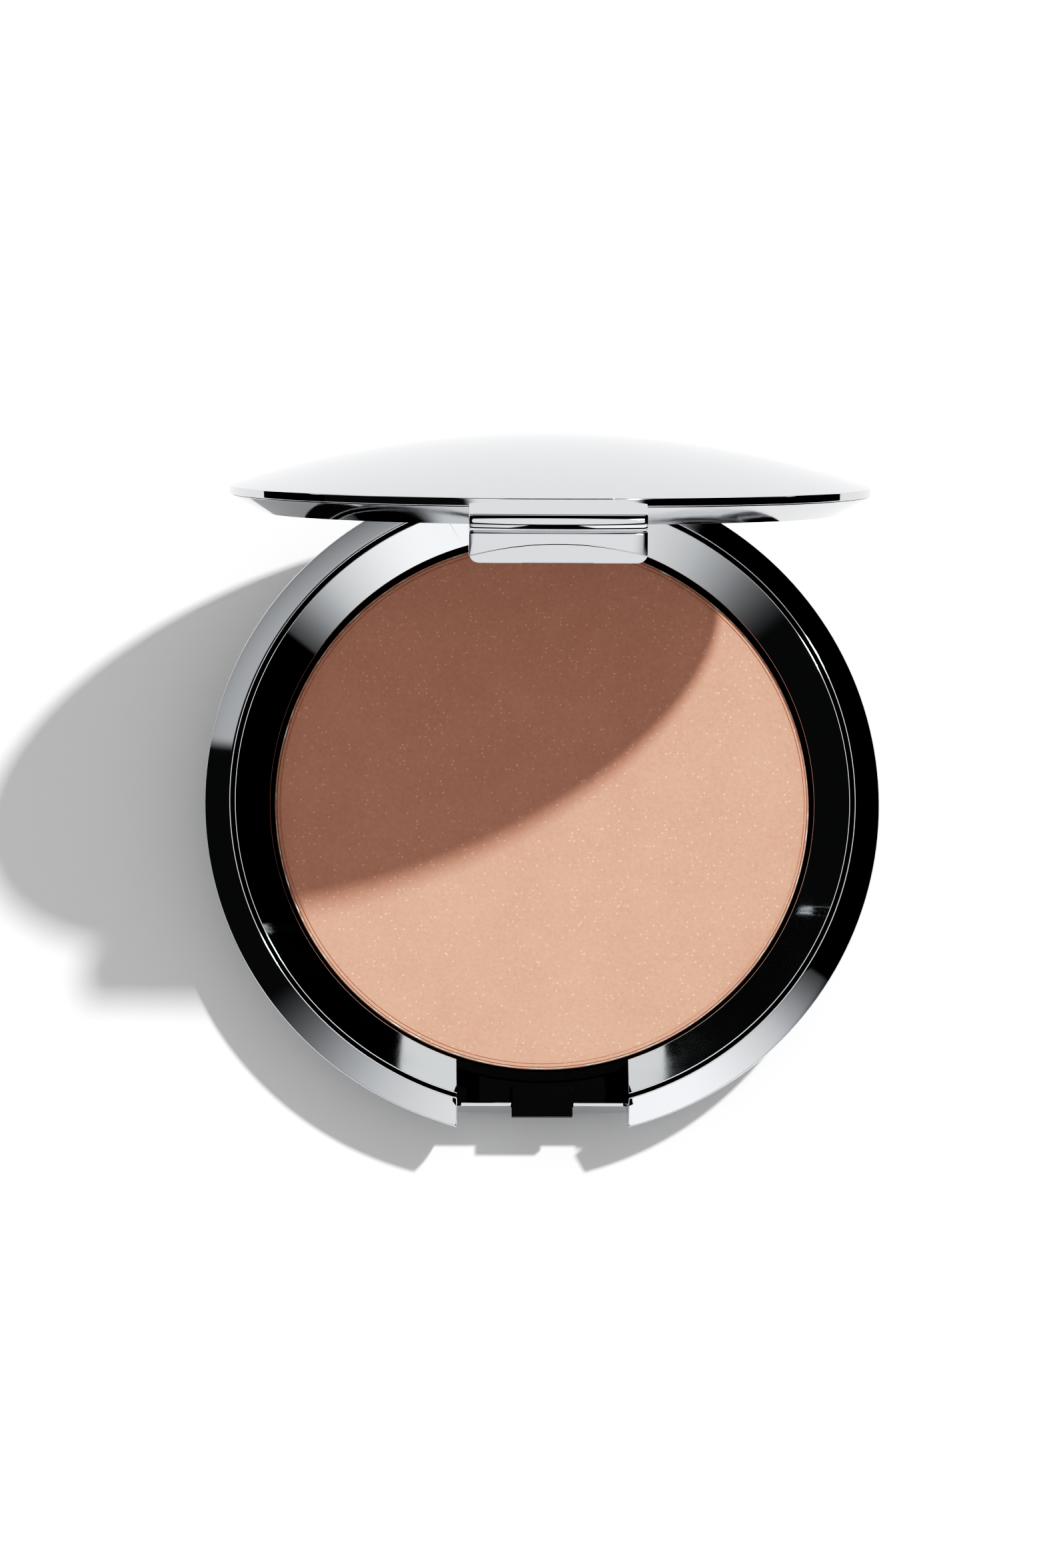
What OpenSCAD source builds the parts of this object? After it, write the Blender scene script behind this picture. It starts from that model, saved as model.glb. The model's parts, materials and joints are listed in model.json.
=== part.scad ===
// Powder compact: round chrome case, pressed powder in a pan, mirror lid on a rear friction hinge.
// Millimetres, +Z up. The origin is the centre of the flat underside.
// The clasp faces -Y and the hinge is at +Y.

/* [Powder] */
// Outer radius of the powder pan
pan_r = 29.6; // [15:0.05:40]
// Depth of the pan, outside
pan_h = 4; // [3:0.1:8]
// Sheet thickness of the pan
pan_t = 0.25; // [0.15:0.05:0.5]
// Gap between the pan and the edge of the deck
pan_gap = 0.5; // [0.35:0.05:1]

/* [Case] */
// Step from the powder surface up to the inner edge of the deck
deck_step = 1; // [0.5:0.05:1.5]
// Width of the sloped deck
deck_w = 4.15; // [3.5:0.05:7]
// Rise of the deck from its inner edge to the ridge
deck_rise = 2.4; // [1.8:0.05:3.5]
// Width of the outer bevel, from the ridge to the outermost edge
bevel_w = 3.1; // [2.5:0.05:5]
// Drop of the outer bevel
bevel_drop = 2.05; // [1:0.05:3]
// Width of the rounded side, from the flat underside to the outermost edge
side_w = 7.85; // [6:0.05:12]
// Wall and floor thickness of the base shell
shell_t = 1.4; // [1:0.1:2]
// Floor thickness of the tray under the pan
tray_t = 1.6; // [1.2:0.1:2.5]
// Open seam between the deck ring and the base shell
seam = 0.4; // [0.2:0.05:0.6]

/* [Clasp] */
// Width of the notch in the front of the base
notch_w = 18.85; // [14:0.05:26]
// How far the front face of the wall in the notch stands inside the ridge
wall_set = 0.55; // [0.3:0.05:1]
// Height of that wall above the powder
wall_rise = 0.3; // [0:0.05:0.6]
// Width of the catch tongue
tongue_w = 6.7; // [4:0.1:9]
// How far the tongue stands out of the wall
tongue_out = 1.1; // [0.6:0.05:1.4]
// Side clearance of the clasp tab in the notch
tab_side_gap = 0.1; // [0.1:0.05:0.4]
// How far the front face of the tab stands inside the outermost edge
tab_set = 0.45; // [0.2:0.05:0.8]
// Length of the tab from the top of the lid edge to its tip
tab_h = 6.7; // [5.5:0.05:8.1]

/* [Lid] */
// How far the lid overhangs the ridge
lid_over = 0.25; // [0:0.05:0.5]
// Height of the dome above the lid edge
dome_h = 5.7; // [4.5:0.1:9]
// Height of the upright lid edge
edge_h = 0.85; // [0.5:0.05:1.2]
// Gap between the closed lid and the ridge
close_gap = 0.4; // [0.35:0.05:0.6]
// Clearance above the deck of the bevel that nests in it
nest_gap = 0.4; // [0.3:0.05:0.6]
// Thickness of the lid skin
skin_t = 1.3; // [1:0.05:1.6]
// Thickness of the mirror glass
mirror_t = 1.1; // [0.8:0.05:1.4]
// Width of the lip that holds the mirror
mirror_lip = 1; // [0.6:0.05:1.5]

/* [Hinge] */
// How far the hinge axis stands inside the ridge
hinge_set = 0.25; // [0.1:0.05:1]
// How far the hinge axis lies below the ridge
hinge_drop = 1.5; // [1.3:0.05:1.9]
// Radius of the hinge barrel
barrel_r = 1.5; // [1.25:0.05:1.6]
// Radius of the hinge pin
pin_r = 0.7; // [0.5:0.05:0.85]
// Length of the lid's knuckle
knuckle_w = 13.6; // [9:0.1:17]
// Width of each lug on the base
lug_w = 2.6; // [2:0.1:3.2]
// Radial running clearance of the pin in the friction sleeve
pin_clear = 0.03; // [0.01:0.01:0.1]
// Angle that the lid stands open from closed
lid_open = 77; // [0:0.1:115]

/* [Hidden] */
$fn = 180;
far = 100;
edge_round = 0.15;

// Heights, built up from the table.
tray_fit = 0.1;
glue_t = 0.1;
tray_top = shell_t + tray_fit + tray_t;
pan_bottom = tray_top + glue_t;
powder_z = pan_bottom + pan_h;
deck_z = powder_z + deck_step;
ridge_z = deck_z + deck_rise;
rim_z = ridge_z - bevel_drop;

// Radii, built up from the pan.
deck_r = pan_r + pan_gap;
ridge_r = deck_r + deck_w;
rim_r = ridge_r + bevel_w;
foot_r = rim_r - side_w;
deck_slope = deck_rise / deck_w;

// The base shell, its well, its label and its ballast.
well_r = ridge_r + seam / 2;
well_foot_r = foot_r - 0.3;
bowl_h = rim_z - 0.5;
cup_h = bowl_h - 4.45;
label_r = foot_r - 8.5;
label_t = 0.15;
label_fit = 0.3;
ballast_r = foot_r - 5.5;
ballast_t = 0.8;
ballast_fit = 0.1;

// The deck ring and the tray that holds the pan.
ring_t = 0.9;
deck_wall_t = 0.9;
tray_wall = 1.2;
tray_wall_top = powder_z - 0.35;
pan_fit = 0.15;
tray_wall_r = pan_r + pan_fit + tray_wall;
recess_floor = tray_top + 1.3;
cake_gap = 0.02;
groove_in = 0.5;
groove_w = 0.14;
groove_depth = 0.08;

// The clasp.
notch_half = notch_w / 2;
wall_y = ridge_r - wall_set;
wall_z = powder_z + wall_rise;
wall_t = 0.4;
shelf_t = 0.8;
wall_corner = 0.45;
cheek_t = 0.8;
tongue_half = tongue_w / 2;
tongue_fit = 0.05;
tongue_top = wall_z - 0.1;
tongue_h = 1.3;
tongue_round = 0.6;
catch_half = notch_half - 2.5;
tab_half = notch_half - tab_side_gap;
tab_wall_gap = 0.3;
tab_r = rim_r - tab_set;
tab_back_r = wall_y + tab_wall_gap - 0.9;
tab_corner = 1.1;
roll_r = 1.1;
roll_drop = 2.4;
spring_w = tongue_w - 0.7;
spring_h = 2.3;
spring_t = 0.1;
spring_rib = 0.05;
pocket_half = tongue_half + 0.35;
pocket_y = wall_y + tongue_out + 0.2;

// The lid, drawn closed.
lid_r = ridge_r + lid_over;
edge_z0 = ridge_z + close_gap;
edge_z1 = edge_z0 + edge_h;
lid_top = edge_z1 + dome_h;
dome_r = (lid_r * lid_r + dome_h * dome_h) / (2 * dome_h);
under_r = deck_r + 0.65;
under_z = deck_z + (under_r - deck_r) * deck_slope + nest_gap;
ring_seam = 0.06;
spigot_gap = 0.08;
lip_t = 0.55;
mirror_r = under_r + 0.35;
mirror_fit = 0.1;
mirror_z = under_z + lip_t + 0.05;
tape_t = 0.25;
tape_r = mirror_r - 4.1;
backing_t = 0.7;
backing_r = mirror_r - 4.5;

// The hinge and the bay that it sits in.
hinge_y = ridge_r - hinge_set;
hinge_z = ridge_z - hinge_drop;
sleeve_r = pin_r + 0.4;
washer_t = 0.3;
washer_gap = 0.05;
lug_x0 = knuckle_w / 2 + washer_t + 2 * washer_gap;
lug_x1 = lug_x0 + lug_w;
pin_len = 2 * lug_x1;
bay_half = lug_x1 + 2.4;
bay_floor = hinge_z - barrel_r - 1.3;
bay_y = hinge_y - barrel_r - 0.35;
arm_y = 1.2;

// A ring or disc between two radii and two heights.
module band(r0, r1, z0, z1)
    translate([0, 0, z0])
        difference() {
            cylinder(r = r1, h = z1 - z0);
            if (r0 > 0)
                translate([0, 0, -1])
                    cylinder(r = r0, h = z1 - z0 + 2);
        }

// A box between two corners.
module block(x0, x1, y0, y1, z0, z1)
    translate([x0, y0, z0])
        cube([x1 - x0, y1 - y0, z1 - z0]);

// A rod along X, centred on x = 0, at a place in Y and Z.
module rod(r, length, y, z)
    translate([-length / 2, y, z])
        rotate([0, 90, 0])
            cylinder(r = r, h = length);

// Turns what is drawn closed up to the standing lid.
module lid_pose()
    translate([0, hinge_y, hinge_z])
        rotate([-lid_open, 0, 0])
            translate([0, -hinge_y, -hinge_z])
                children();

// Points of a quarter ellipse that leaves [r0, z0] level and meets [r1, z0 + h] upright.
function quarter(r0, r1, z0, h) =
    [for (a = [0:10:90]) [r0 + (r1 - r0) * sin(a), z0 + h * (1 - cos(a))]];

// Outside of the base, from the foot over the rim to the ridge.
function case_outside() = concat(
    [[0, 0]],
    quarter(foot_r, rim_r, 0, bowl_h),
    [
        [rim_r, rim_z - 0.2],
        [rim_r - 0.1, rim_z + 0.05],
        [well_r + edge_round, ridge_z - 0.02],
        [well_r, ridge_z - edge_round],
    ]
);

// Inside of the base shell, from the ridge down the well to the floor.
function case_inside() = concat(
    [for (i = [9:-1:0]) quarter(well_foot_r, well_r, shell_t, cup_h)[i]],
    [[0, shell_t]]
);

// The base without its inside, as a solid of revolution.
module case_body()
    rotate_extrude()
        polygon(concat(case_outside(), [[0, ridge_z - edge_round]]));

module base_shell() color("silver")
    difference() {
        union() {
            difference() {
                rotate_extrude()
                    polygon(concat(case_outside(), case_inside()));
                block(-notch_half, notch_half, -far, -deck_r, recess_floor, far);
            }
            intersection() {
                union() {
                    front_wall();
                    hinge_shelf();
                }
                case_body();
            }
            hinge_lugs();
        }
        block(-notch_half, notch_half, -far, -wall_y, -1, far);
        difference() {
            block(-bay_half, bay_half, bay_y, far, bay_floor, far);
            hinge_lugs();
        }
        rod(pin_r, pin_len + 1, hinge_y, hinge_z);
        translate([0, 0, -1])
            cylinder(r = label_r + label_fit, h = 1 + label_t);
    }

// Floor and back wall of the bay that the hinge sits in.
module hinge_shelf() {
    half = bay_half + 1;
    block(-half, half, bay_y - shelf_t, far, bay_floor - shell_t, bay_floor);
    block(-half, half, bay_y - shelf_t, bay_y, shell_t / 2, deck_z - 0.45);
}

// The wall across the notch, with chamfered ends and a gap for the tongue.
module front_wall()
    difference() {
        translate([0, -wall_y + wall_t, 0])
            rotate([90, 0, 0])
                linear_extrude(wall_t)
                    polygon([
                        [-notch_half, shell_t / 2],
                        [notch_half, shell_t / 2],
                        [notch_half, wall_z - wall_corner],
                        [notch_half - wall_corner, wall_z],
                        [-notch_half + wall_corner, wall_z],
                        [-notch_half, wall_z - wall_corner],
                    ]);
        block(-tongue_half - tongue_fit, tongue_half + tongue_fit, -far, 0,
            tongue_top - tongue_h - tongue_fit, far);
    }

// Two lugs that carry the pin, on feet that stay in front of the hinge axis.
module hinge_lugs()
    for (side = [-1, 1])
        translate([side * (lug_x0 + lug_w / 2), 0, 0]) {
            rod(barrel_r, lug_w, hinge_y, hinge_z);
            block(-lug_w / 2, lug_w / 2, hinge_y - barrel_r, hinge_y, bay_floor - 0.5, hinge_z);
        }

module deck_ring() color("gainsboro")
    difference() {
        union() {
            rotate_extrude()
                deck_outline();
            deck_cheeks();
        }
        block(-notch_half, notch_half, -far, -5, -1, far);
        block(-bay_half, bay_half, bay_y, far, -1, far);
    }

// Section of the deck: a short wall round the pan, then the slope up to the ridge.
module deck_outline() {
    outer = ridge_r - seam / 2;
    top_z = deck_z + (outer - deck_r) * deck_slope;
    polygon([
        [deck_r, tray_wall_top],
        [deck_r + deck_wall_t, tray_wall_top],
        [deck_r + deck_wall_t, deck_z - 0.35],
        [outer - 0.35, top_z - ring_t - 0.25],
        [outer, top_z - ring_t],
        [outer, top_z - edge_round],
        [outer - 0.15, top_z - 0.09],
        [deck_r + 0.1, deck_z + 0.1 * deck_slope],
        [deck_r, deck_z - 0.08],
    ]);
}

// End walls that close the deck at both sides of the front notch.
module deck_cheeks()
    intersection() {
        union()
            for (side = [-1, 1])
                translate([side * (notch_half + cheek_t / 2), 0, 0])
                    block(-cheek_t / 2, cheek_t / 2, -far, -5, recess_floor + 0.1, far);
        rotate_extrude()
            polygon([
                [deck_r + deck_wall_t + 0.4, recess_floor + 0.1],
                [ridge_r - seam / 2 - 0.1, recess_floor + 0.1],
                [ridge_r - seam / 2 - 0.1, ridge_z - 1.2],
                [deck_r + deck_wall_t + 0.4, deck_z + 0.3],
            ]);
    }

// The black tray: a floor, a wall round the pan, a ledge for the deck ring and the floor of the recess.
module pan_tray() color("#101010")
    difference() {
        union() {
            band(0, well_foot_r - 0.3, shell_t + tray_fit, tray_top);
            band(pan_r + pan_fit, tray_wall_r, tray_top - 0.7, tray_wall_top);
            band(well_foot_r - 1, tray_wall_r, tray_top - 0.7, tray_top);
            recess_base();
        }
        translate([0, 0, shell_t])
            cylinder(r = ballast_r + ballast_fit, h = ballast_t + 0.1 + tray_fit);
    }

module recess_base()
    intersection() {
        block(-notch_half + tray_fit, notch_half - tray_fit, -wall_y + wall_t + 0.05, -deck_r,
            recess_floor - 1, recess_floor);
        band(pan_r + pan_fit, wall_y - 0.1, 0, far);
    }

// The black catch: a bar in the recess with a tongue that passes through the wall.
module catch_block() color("#181818") {
    back = tray_wall_r + 0.1;
    difference() {
        block(-catch_half, catch_half, -wall_y + wall_t + 0.05, -back + 1.6, recess_floor, tongue_top - 0.5);
        cylinder(r = back, h = far);
    }
    tongue();
}

module tongue()
    translate([0, 0, tongue_top - tongue_h])
        linear_extrude(tongue_h)
            union() {
                reach = wall_y + tongue_out;
                translate([-tongue_half, -reach + tongue_round])
                    square([tongue_w, reach - tongue_round - (wall_y - wall_t - 0.9)]);
                translate([-tongue_half + tongue_round, -reach])
                    square([tongue_w - 2 * tongue_round, tongue_round + 0.1]);
                for (side = [-1, 1])
                    translate([side * (tongue_half - tongue_round), -reach + tongue_round])
                        circle(r = tongue_round, $fn = 48);
            }

module powder_pan() color("lightgray")
    difference() {
        band(0, pan_r, pan_bottom, powder_z - 0.03);
        translate([0, 0, pan_bottom + pan_t])
            cylinder(r = pan_r - pan_t, h = far);
    }

module pan_glue() color("lemonchiffon")
    band(0, pan_r - 6, tray_top, pan_bottom);

// Pressed powder with a fine groove pressed just inside the pan's edge.
module powder_cake() color("#d8ab93")
    difference() {
        band(0, pan_r - pan_t - cake_gap, pan_bottom + pan_t, powder_z);
        band(pan_r - groove_in - groove_w, pan_r - groove_in, powder_z - groove_depth, far);
    }

module ballast_plate() color("slategray")
    band(0, ballast_r, shell_t, shell_t + ballast_t);

module base_label() color("white")
    band(0, label_r, 0, label_t);

module hinge_pin() color("lightsteelblue")
    rod(pin_r, pin_len, hinge_y, hinge_z);

// The dome, its upright edge, the clasp tab and the knuckle, as one plated piece.
module lid_shell() color("silver")
    lid_pose()
        difference() {
            union() {
                dome_skin();
                clasp_tab();
                lid_knuckle();
            }
            rod(sleeve_r, knuckle_w + 1, hinge_y, hinge_z);
            tab_pocket();
        }

// Height of the inside of the dome at a radius.
function dome_inside(r) = lid_top - dome_r + sqrt(pow(dome_r - skin_t, 2) - r * r);

module dome_skin()
    difference() {
        intersection() {
            translate([0, 0, lid_top - dome_r])
                sphere(r = dome_r, $fn = 360);
            band(0, lid_r, edge_z0, lid_top + 1);
        }
        intersection() {
            translate([0, 0, lid_top - dome_r])
                sphere(r = dome_r - skin_t, $fn = 360);
            band(0, lid_r - skin_t, edge_z0 - 1, lid_top + 1);
        }
    }

// The tab: a top slope in line with the base's bevel, a rolled shoulder and a flat lip with a bevelled tip.
module clasp_tab() {
    tip_z = edge_z1 - tab_h;
    roll_z = edge_z1 - roll_drop;
    intersection() {
        rotate_extrude()
            polygon(concat(
                [[tab_back_r, edge_z1 - 0.02], [lid_r - 0.1, edge_z1 - 0.02]],
                [for (a = [60:-15:-75]) [tab_r - 0.55 + roll_r * cos(a), roll_z + roll_r * sin(a)]],
                [[tab_r, roll_z - 1.15], [tab_r, tip_z], [tab_back_r, tip_z]]
            ));
        tab_front(tip_z);
    }
}

// Straight cuts of the tab: its width with cut corners, its flat back and the bevel at the tip.
module tab_front(tip_z) {
    intersection() {
        translate([0, -wall_y - tab_wall_gap, 0])
            rotate([90, 0, 0])
                linear_extrude(8)
                    polygon([
                        [-tab_half, edge_z1],
                        [-tab_half, tip_z + tab_corner],
                        [-tab_half + 0.3 * tab_corner, tip_z + 0.4 * tab_corner],
                        [-tab_half + tab_corner, tip_z],
                        [tab_half - tab_corner, tip_z],
                        [tab_half - 0.3 * tab_corner, tip_z + 0.4 * tab_corner],
                        [tab_half, tip_z + tab_corner],
                        [tab_half, edge_z1],
                    ]);
        rotate([90, 0, 90])
            translate([0, 0, -tab_half - 1])
                linear_extrude(2 * tab_half + 2)
                    polygon([
                        [-wall_y, edge_z1],
                        [-wall_y, tip_z],
                        [-tab_r + 1.87, tip_z],
                        [-tab_r, tip_z + 2.05],
                        [-tab_r - 2, tip_z + 4],
                        [-tab_r - 2, edge_z1],
                    ]);
    }
    block(-tab_half, tab_half, -wall_y - tab_wall_gap, -lid_r + 3, edge_z0 + 0.02, edge_z1);
}

// Pocket in the back of the tab that clears the tongue and seats the spring.
module tab_pocket()
    block(-pocket_half, pocket_half, -pocket_y, -wall_y + 1,
        edge_z1 - tab_h - 1, tongue_top + 0.6);

module lid_knuckle() {
    rod(barrel_r, knuckle_w, hinge_y, hinge_z);
    intersection() {
        block(-knuckle_w / 2, knuckle_w / 2, hinge_y - arm_y, lid_r + 1, hinge_z, edge_z0 + 0.3);
        cylinder(r = lid_r, h = far);
    }
}

// The ring under the lid: the bevel that nests in the deck, and the lip that holds the mirror.
module lid_ring() color("gainsboro")
    lid_pose()
        difference() {
            rotate_extrude()
                ring_outline();
            block(-far, far, bay_y, far, -1, far);
            block(-tab_half, tab_half, -far, -wall_y - tab_wall_gap + 0.05, -1, far);
        }

module ring_outline() {
    spigot_r = lid_r - skin_t - 0.3;
    inner_r = mirror_r + mirror_fit;
    polygon([
        [inner_r, mirror_z - 0.05],
        [mirror_r - mirror_lip, mirror_z - 0.05],
        [mirror_r - mirror_lip, under_z + 0.08],
        [mirror_r - mirror_lip + 0.1, under_z],
        [under_r - 0.1, under_z],
        [under_r + 0.08, under_z + 0.04],
        [lid_r - 0.12, edge_z0 - ring_seam - 0.1],
        [lid_r - 0.15, edge_z0 - ring_seam],
        [spigot_r, edge_z0 - ring_seam],
        [inner_r, dome_inside(inner_r) - spigot_gap],
    ]);
}

module mirror() color("lightcyan")
    lid_pose()
        band(0, mirror_r, mirror_z, mirror_z + mirror_t);

module mirror_tape() color("dimgray")
    lid_pose()
        band(0, tape_r, mirror_z + mirror_t, mirror_z + mirror_t + tape_t);

module mirror_backing() color("#202020")
    lid_pose()
        band(0, backing_r, mirror_z + mirror_t + tape_t, mirror_z + mirror_t + tape_t + backing_t);

// The clasp spring: a leaf of spring steel in the tab's pocket, with a rib that snaps past the tongue.
module clasp_spring() color("#303030")
    lid_pose()
        translate([-spring_w / 2, 0, 0])
            rotate([90, 0, 90])
                linear_extrude(spring_w)
                    spring_outline();

module spring_outline() {
    back = -pocket_y;
    face = back + spring_t;
    tip_z = edge_z1 - tab_h + 0.3;
    polygon([
        [back, tip_z],
        [face, tip_z],
        [face, tip_z + 0.1],
        [face + spring_rib, tip_z + 0.25],
        [face + spring_rib, tip_z + 0.4],
        [face, tip_z + 0.55],
        [face, tip_z + spring_h],
        [back, tip_z + spring_h],
    ]);
}

// Sleeve fixed in the knuckle: its bore grips the pin.
module friction_sleeve() color("ivory")
    lid_pose()
        difference() {
            rod(sleeve_r, knuckle_w, hinge_y, hinge_z);
            rod(pin_r + pin_clear, knuckle_w + 1, hinge_y, hinge_z);
        }

module hinge_washer(side)
    translate([side * (knuckle_w / 2 + washer_gap + washer_t / 2), 0, 0])
        difference() {
            rod(barrel_r - 0.1, washer_t, hinge_y, hinge_z);
            rod(pin_r, washer_t + 1, hinge_y, hinge_z);
        }

module hinge_washer_left() color("ivory")
    hinge_washer(-1);

module hinge_washer_right() color("ivory")
    hinge_washer(1);

base_shell();
deck_ring();
pan_tray();
catch_block();
powder_pan();
pan_glue();
powder_cake();
ballast_plate();
base_label();
hinge_pin();
lid_shell();
lid_ring();
mirror();
mirror_tape();
mirror_backing();
clasp_spring();
friction_sleeve();
hinge_washer_left();
hinge_washer_right();
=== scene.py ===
"""A round chrome-plated powder compact, standing open on a pale table."""

import json
import math

import bpy
from mathutils import Matrix, Vector


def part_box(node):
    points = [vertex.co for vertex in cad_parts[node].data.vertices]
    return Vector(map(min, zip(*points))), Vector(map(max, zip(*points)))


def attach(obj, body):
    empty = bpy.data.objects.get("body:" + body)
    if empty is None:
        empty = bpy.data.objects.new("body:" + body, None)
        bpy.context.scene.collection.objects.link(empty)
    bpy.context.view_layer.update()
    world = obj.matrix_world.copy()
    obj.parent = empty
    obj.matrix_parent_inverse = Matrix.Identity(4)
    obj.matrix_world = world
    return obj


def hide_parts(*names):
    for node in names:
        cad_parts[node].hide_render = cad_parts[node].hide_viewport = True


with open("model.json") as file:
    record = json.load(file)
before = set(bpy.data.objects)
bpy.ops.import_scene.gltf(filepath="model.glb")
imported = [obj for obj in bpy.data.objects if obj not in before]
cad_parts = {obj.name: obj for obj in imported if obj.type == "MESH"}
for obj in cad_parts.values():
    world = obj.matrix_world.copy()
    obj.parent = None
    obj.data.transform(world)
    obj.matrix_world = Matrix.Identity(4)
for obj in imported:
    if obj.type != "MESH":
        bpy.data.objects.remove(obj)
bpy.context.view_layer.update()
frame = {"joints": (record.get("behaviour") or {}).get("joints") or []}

MM = 0.001
SPIN_STEPS = 192


# ---------------------------------------------------------------- places

def corners_mm(node):
    """Lowest and highest corner of a CAD node, in millimetres."""
    low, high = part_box(node)
    return low / MM, high / MM


shell_low, shell_high = corners_mm("base_shell")
deck_low, deck_high = corners_mm("deck_ring")
pan_low, pan_high = corners_mm("powder_pan")
cake_low, cake_high = corners_mm("powder_cake")
tray_low, tray_high = corners_mm("pan_tray")
catch_low, catch_high = corners_mm("catch_block")
label_high = corners_mm("base_label")[1]
ballast_low, ballast_high = corners_mm("ballast_plate")
glue_low, glue_high = corners_mm("pan_glue")
pin_low, pin_high = corners_mm("hinge_pin")
washer_low, washer_high = corners_mm("hinge_washer_right")
sleeve_high = corners_mm("friction_sleeve")[1]

hinge = frame["joints"][0]
HINGE_Y, HINGE_Z = (value / MM for value in hinge["pos_m"][1:])
LID_OPEN = -hinge["range_deg"][0]

# Base: heights and radii of its edges.
RIM_R = shell_high.x
RIDGE_Z = 10.6
RIM_Z = RIDGE_Z - 2.05
FOOT_R = RIM_R - 7.85
WELL_R = 34.45
DECK_R = 30.1
DECK_Z = cake_high.z + 1
DECK_OUT_R = 34.05
DECK_SLOPE = 2.4 / 4.15
DECK_OUT_Z = DECK_Z + (DECK_OUT_R - DECK_R) * DECK_SLOPE
SHELL_T = 1.4
POWDER_Z = cake_high.z

# Front notch and the wall in it.
NOTCH_HALF = 9.425
WALL_Y = 33.7
WALL_T = 0.4
SHELF_T = 0.8
WALL_Z = POWDER_Z + 0.3
RECESS_Z = 4.4

# Hinge bay.
BARREL_R = 1.5
LUG_IN = washer_high.x + 0.05
LUG_OUT = pin_high.x
BAY_HALF = LUG_OUT + 2.4
BAY_Y = HINGE_Y - BARREL_R - 0.35
BAY_Z = HINGE_Z - BARREL_R - 1.3

# Lid, drawn closed.
LID_R = 34.5
EDGE_Z0 = RIDGE_Z + 0.4
EDGE_Z1 = EDGE_Z0 + 0.85
DOME_H = 5.7
LID_TOP = EDGE_Z1 + DOME_H
DOME_R = (LID_R ** 2 + DOME_H ** 2) / (2 * DOME_H)
SKIN_T = 1.3
UNDER_R = DECK_R + 0.65
UNDER_Z = DECK_Z + 0.65 * DECK_SLOPE + 0.4
MIRROR_R = UNDER_R + 0.35
MIRROR_Z = UNDER_Z + 0.6
MIRROR_T = 1.1
TAB_HALF = NOTCH_HALF - 0.1
TAB_R = RIM_R - 0.45
TAB_TIP_Z = EDGE_Z1 - 6.7
POCKET_Y = WALL_Y + 1.3


# ---------------------------------------------------------------- modelling by hand

def lay_down_tools():
    """Leaves edit mode with nothing selected."""
    if bpy.context.mode != "OBJECT":
        bpy.ops.object.mode_set(mode="OBJECT")
    bpy.ops.object.select_all(action="DESELECT")


def rounded(points, arc_steps=5):
    """A section line whose corners (r, z, radius) are rounded where a radius is given."""
    line = []
    for i, corner in enumerate(points):
        here = Vector(corner[:2])
        radius = corner[2] if len(corner) > 2 else 0
        if not radius:
            line.append(here)
            continue
        before = (Vector(points[i - 1][:2]) - here).normalized()
        after = (Vector(points[(i + 1) % len(points)][:2]) - here).normalized()
        half = before.angle(after) / 2
        centre = here + (before + after).normalized() * radius / math.sin(half)
        first = here + before * radius / math.tan(half) - centre
        last = here + after * radius / math.tan(half) - centre
        sweep = first.angle_signed(last)
        for step in range(arc_steps + 1):
            turned = Matrix.Rotation(-sweep * step / arc_steps, 2) @ first
            line.append(centre + turned)
    return [(point.x, point.y) for point in line]


def drawn_line(name, line):
    """One vertex, extruded along a line in the XZ plane. Stays in edit mode."""
    lay_down_tools()
    bpy.ops.mesh.primitive_plane_add(size=MM)
    piece = bpy.context.object
    piece.name = piece.data.name = name
    bpy.ops.object.mode_set(mode="EDIT")
    bpy.ops.mesh.merge(type="CENTER")
    bpy.ops.transform.translate(value=(line[0][0] * MM, 0, line[0][1] * MM))
    for (r0, z0), (r1, z1) in zip(line, line[1:]):
        step = ((r1 - r0) * MM, 0, (z1 - z0) * MM)
        bpy.ops.mesh.extrude_region_move(TRANSFORM_OT_translate={"value": step})
    return piece


def closed_up():
    """Merges doubles and turns the faces of the mesh in edit mode outwards."""
    bpy.ops.mesh.select_all(action="SELECT")
    bpy.ops.mesh.remove_doubles(threshold=0.002 * MM)
    bpy.ops.mesh.normals_make_consistent(inside=False)
    bpy.ops.object.mode_set(mode="OBJECT")


def turned(name, section, ring=False, steps=SPIN_STEPS):
    """A section spun once round the upright axis. A ring's section is closed, a solid's ends on the axis."""
    line = rounded(section)
    piece = drawn_line(name, line + line[:1] if ring else line)
    bpy.ops.mesh.select_all(action="SELECT")
    bpy.ops.mesh.spin(steps=steps, angle=math.tau, center=(0, 0, 0), axis=(0, 0, 1))
    closed_up()
    return piece


def prism(name, line, axis, low, high):
    """A flat outline in the XZ plane, filled and extruded along Y; with axis "X" it is then turned to face X."""
    piece = drawn_line(name, line)
    bpy.ops.mesh.select_all(action="SELECT")
    bpy.ops.mesh.edge_face_add()
    bpy.ops.mesh.extrude_region_move(TRANSFORM_OT_translate={"value": (0, (high - low) * MM, 0)})
    bpy.ops.mesh.select_all(action="SELECT")
    bpy.ops.transform.translate(value=(0, low * MM, 0))
    closed_up()
    if axis == "X":
        # The outline was drawn as (y, z): X becomes Y and Y becomes X.
        piece.matrix_world = Matrix(((0, 1, 0, 0), (1, 0, 0, 0), (0, 0, 1, 0), (0, 0, 0, 1)))
        settle(piece)
        bpy.ops.object.mode_set(mode="EDIT")
        closed_up()
    return piece


def settle(piece):
    """Puts an object's place into its mesh."""
    lay_down_tools()
    piece.select_set(True)
    bpy.context.view_layer.objects.active = piece
    bpy.ops.object.transform_apply(location=True, rotation=True, scale=True)


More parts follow.
